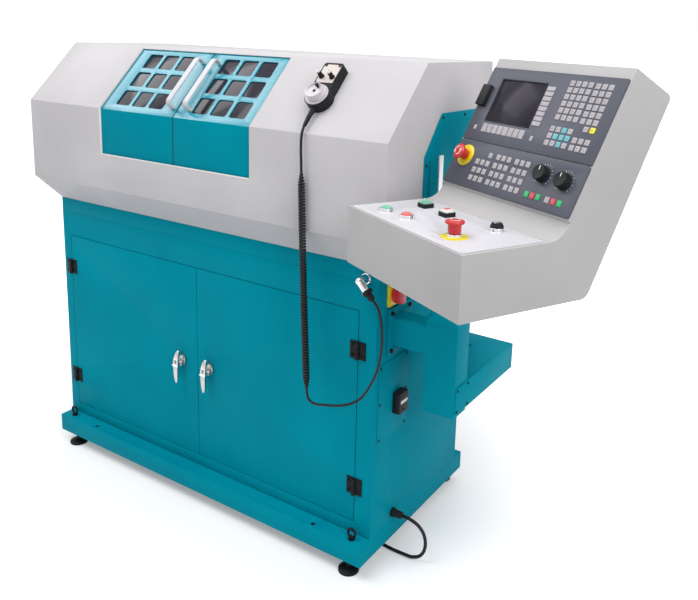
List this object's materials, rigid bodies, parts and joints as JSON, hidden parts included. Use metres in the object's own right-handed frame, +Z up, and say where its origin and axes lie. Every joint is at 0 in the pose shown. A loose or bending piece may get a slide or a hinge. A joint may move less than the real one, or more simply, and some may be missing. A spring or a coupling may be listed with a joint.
{
  "type": "cnc turning lathe",
  "caption": "Floor-standing turning lathe: cabinet on a plinth, sliding guard doors over the bed, swivelling control console on an arm and a hand pendant on a curly cord.",
  "frame": {"origin": "on the floor, under the middle of the cabinet", "axes": "+X to the operator's right along the spindle, +Y to the back, +Z up"},
  "size_m": [2.0093, 1.1872, 1.4337],
  "materials": {
    "teal_paint": "powder-coated sheet steel",
    "grey_paint": "powder-coated sheet steel, light grey",
    "console_paint": "powder-coated sheet steel, light grey",
    "shelf_foil": "printed foil on a plate",
    "panel_foil": "keypad foil, dark grey",
    "key_foil": "embossed keys, light grey",
    "screen_glass": "dark display window",
    "black_steel": "black painted steel",
    "black_plastic": "black moulded plastic",
    "cord_rubber": "cord sheath",
    "chrome": "chromed zinc",
    "machined_steel": "turned and ground steel",
    "cast_iron": "painted and scraped castings",
    "smoked_pane": "smoked polycarbonate",
    "yellow_plastic": "yellow moulded plastic",
    "red_plastic": "red moulded plastic",
    "green_plastic": "green moulded plastic",
    "white_plastic": "white moulded plastic",
    "cream_plastic": "cream moulded plastic",
    "galvanised": "galvanised plate with modules"
  },
  "bodies": {
    "machine": {"base_plinth": "teal_paint", "levelling_feet": "black_steel", "lifting_eyes": "black_steel", "cabinet_shell": "teal_paint", "top_frame": "teal_paint", "enclosure_shell": "grey_paint", "end_panel": "teal_paint", "side_cover": "teal_paint", "socket_box": "black_plastic", "switch_plate": "yellow_plastic", "hinge_frame_leaves": "black_steel", "console_arm": "teal_paint", "cable_duct": "teal_paint", "pendant_body": "black_plastic", "pendant_connector": "chrome", "cable_gland": "black_plastic", "pendant_cable_upper": "cord_rubber", "pendant_cable_coil": "cord_rubber", "pendant_cable_lower": "cord_rubber", "mains_cable": "cord_rubber", "mains_coil": "cord_rubber", "mains_plug": "red_plastic", "bed": "cast_iron", "headstock": "cast_iron", "spindle_motor": "black_steel", "drive_belt": "cord_rubber", "electrics": "galvanised"},
    "left_door": {"left_cabinet_door": "teal_paint"},
    "right_door": {"right_cabinet_door": "teal_paint"},
    "left_lever": {"left_latch": "chrome"},
    "right_lever": {"right_latch": "chrome"},
    "left_guard": {"left_guard_door": "teal_paint", "left_window": "smoked_pane"},
    "right_guard": {"right_guard_door": "teal_paint", "right_window": "smoked_pane"},
    "main_switch": {"main_switch_knob": "red_plastic"},
    "console": {"console_housing": "console_paint", "shelf_plate": "shelf_foil", "operator_panel": "panel_foil", "machine_panel": "panel_foil", "screen": "screen_glass", "panel_keys": "key_foil"},
    "shelf_stop": {"shelf_estop": "red_plastic"},
    "panel_stop": {"panel_estop": "red_plastic"},
    "start": {"start_button": "green_plastic"},
    "stop": {"stop_button": "red_plastic"},
    "square_left": {"left_square_button": "green_plastic"},
    "square_right": {"right_square_button": "white_plastic"},
    "key": {"key_switch": "black_plastic"},
    "feed_knob": {"feed_override": "black_plastic"},
    "speed_knob": {"spindle_override": "black_plastic"},
    "dial": {"pendant_dial": "white_plastic"},
    "axis_selector": {"axis_knob": "black_plastic"},
    "step_selector": {"step_knob": "black_plastic"},
    "spindle": {"spindle_chuck": "machined_steel"},
    "motor_rotor": {"motor_pulley": "machined_steel"},
    "saddle": {"carriage": "cast_iron"},
    "cross": {"cross_slide": "cast_iron"},
    "turret": {"tool_turret": "machined_steel"},
    "tail": {"tailstock": "cast_iron"}
  },
  "joints": [
    {"name": "left_door_hinge", "type": "hinge", "parent": "machine", "child": "left_door", "pos_m": [-0.611, -0.2615, 0.452], "axis": [0, 0, -1], "range_deg": [0, 110]},
    {"name": "right_door_hinge", "type": "hinge", "parent": "machine", "child": "right_door", "pos_m": [0.593, -0.2615, 0.452], "axis": [0, 0, 1], "range_deg": [0, 110], "deforming": ["pendant_cable_upper", "pendant_cable_coil", "pendant_cable_lower"]},
    {"name": "left_latch_turn", "type": "hinge", "parent": "left_door", "child": "left_lever", "pos_m": [-0.078, -0.255, 0.451], "axis": [0, 1, 0], "range_deg": [0, 90]},
    {"name": "right_latch_turn", "type": "hinge", "parent": "right_door", "child": "right_lever", "pos_m": [0.041, -0.255, 0.451], "axis": [0, -1, 0], "range_deg": [0, 90]},
    {"name": "left_guard_slide", "type": "slide", "parent": "machine", "child": "left_guard", "axis": [-1, 0, 0], "range_m": [0, 0.255]},
    {"name": "right_guard_slide", "type": "slide", "parent": "machine", "child": "right_guard", "axis": [1, 0, 0], "range_m": [0, 0.235]},
    {"name": "main_switch_turn", "type": "hinge", "parent": "machine", "child": "main_switch", "pos_m": [0.65, -0.178, 0.805], "axis": [1, 0, 0], "range_deg": [0, 90]},
    {"name": "console_swivel", "type": "hinge", "parent": "machine", "child": "console", "pos_m": [0.94792, -0.31318, 0.958], "axis": [0, 0, 1], "range_deg": [-8, 30]},
    {"name": "shelf_stop_press", "type": "slide", "parent": "console", "child": "shelf_stop", "axis": [0, 0, -1], "range_m": [0, 0.004], "stiffness_N_per_m": 1200},
    {"name": "panel_stop_press", "type": "slide", "parent": "console", "child": "panel_stop", "axis": [0.4014, 0.7946, -0.4555], "range_m": [0, 0.004], "stiffness_N_per_m": 1200},
    {"name": "start_press", "type": "slide", "parent": "console", "child": "start", "axis": [0, 0, -1], "range_m": [0, 0.003], "stiffness_N_per_m": 600},
    {"name": "stop_press", "type": "slide", "parent": "console", "child": "stop", "axis": [0, 0, -1], "range_m": [0, 0.003], "stiffness_N_per_m": 600},
    {"name": "square_left_press", "type": "slide", "parent": "console", "child": "square_left", "axis": [0, 0, -1], "range_m": [0, 0.003], "stiffness_N_per_m": 600},
    {"name": "square_right_press", "type": "slide", "parent": "console", "child": "square_right", "axis": [0, 0, -1], "range_m": [0, 0.003], "stiffness_N_per_m": 600},
    {"name": "key_turn", "type": "hinge", "parent": "console", "child": "key", "pos_m": [1.04538, -0.43075, 1.092], "axis": [0, 0, 1], "range_deg": [0, 90]},
    {"name": "feed_turn", "type": "hinge", "parent": "console", "child": "feed_knob", "pos_m": [1.09459, -0.3156, 1.20226], "axis": [-0.4014, -0.7946, 0.4555], "range_deg": [-135, 135]},
    {"name": "speed_turn", "type": "hinge", "parent": "console", "child": "speed_knob", "pos_m": [1.15268, -0.34698, 1.1987], "axis": [-0.4014, -0.7946, 0.4555], "range_deg": [-135, 135]},
    {"name": "dial_turn", "type": "hinge", "parent": "machine", "child": "dial", "pos_m": [0.45, -0.266, 1.323], "axis": [0, -0.7241, 0.6897], "continuous": true},
    {"name": "axis_turn", "type": "hinge", "parent": "machine", "child": "axis_selector", "pos_m": [0.433, -0.22393, 1.36717], "axis": [0, -0.7241, 0.6897], "range_deg": [-60, 60]},
    {"name": "step_turn", "type": "hinge", "parent": "machine", "child": "step_selector", "pos_m": [0.467, -0.22393, 1.36717], "axis": [0, -0.7241, 0.6897], "range_deg": [-60, 60]},
    {"name": "spindle_spin", "type": "hinge", "parent": "machine", "child": "spindle", "pos_m": [-0.5, 0.04, 1.13], "axis": [1, 0, 0], "continuous": true},
    {"name": "motor_spin", "type": "hinge", "parent": "machine", "child": "motor_rotor", "pos_m": [-0.6, 0.04, 0.56], "axis": [1, 0, 0], "continuous": true},
    {"name": "carriage_slide", "type": "slide", "parent": "machine", "child": "saddle", "axis": [1, 0, 0], "range_m": [-0.25, 0.07]},
    {"name": "cross_feed", "type": "slide", "parent": "saddle", "child": "cross", "axis": [0, 1, 0], "range_m": [-0.07, 0.04]},
    {"name": "turret_index", "type": "hinge", "parent": "cross", "child": "turret", "pos_m": [0.14, -0.03, 1.074], "axis": [0, 0, 1], "continuous": true},
    {"name": "tailstock_slide", "type": "slide", "parent": "machine", "child": "tail", "axis": [1, 0, 0], "range_m": [-0.06, 0.04]}
  ],
  "couplings": [
    {"joint": "motor_spin", "follows": "spindle_spin", "ratio": 1.4}
  ]
}
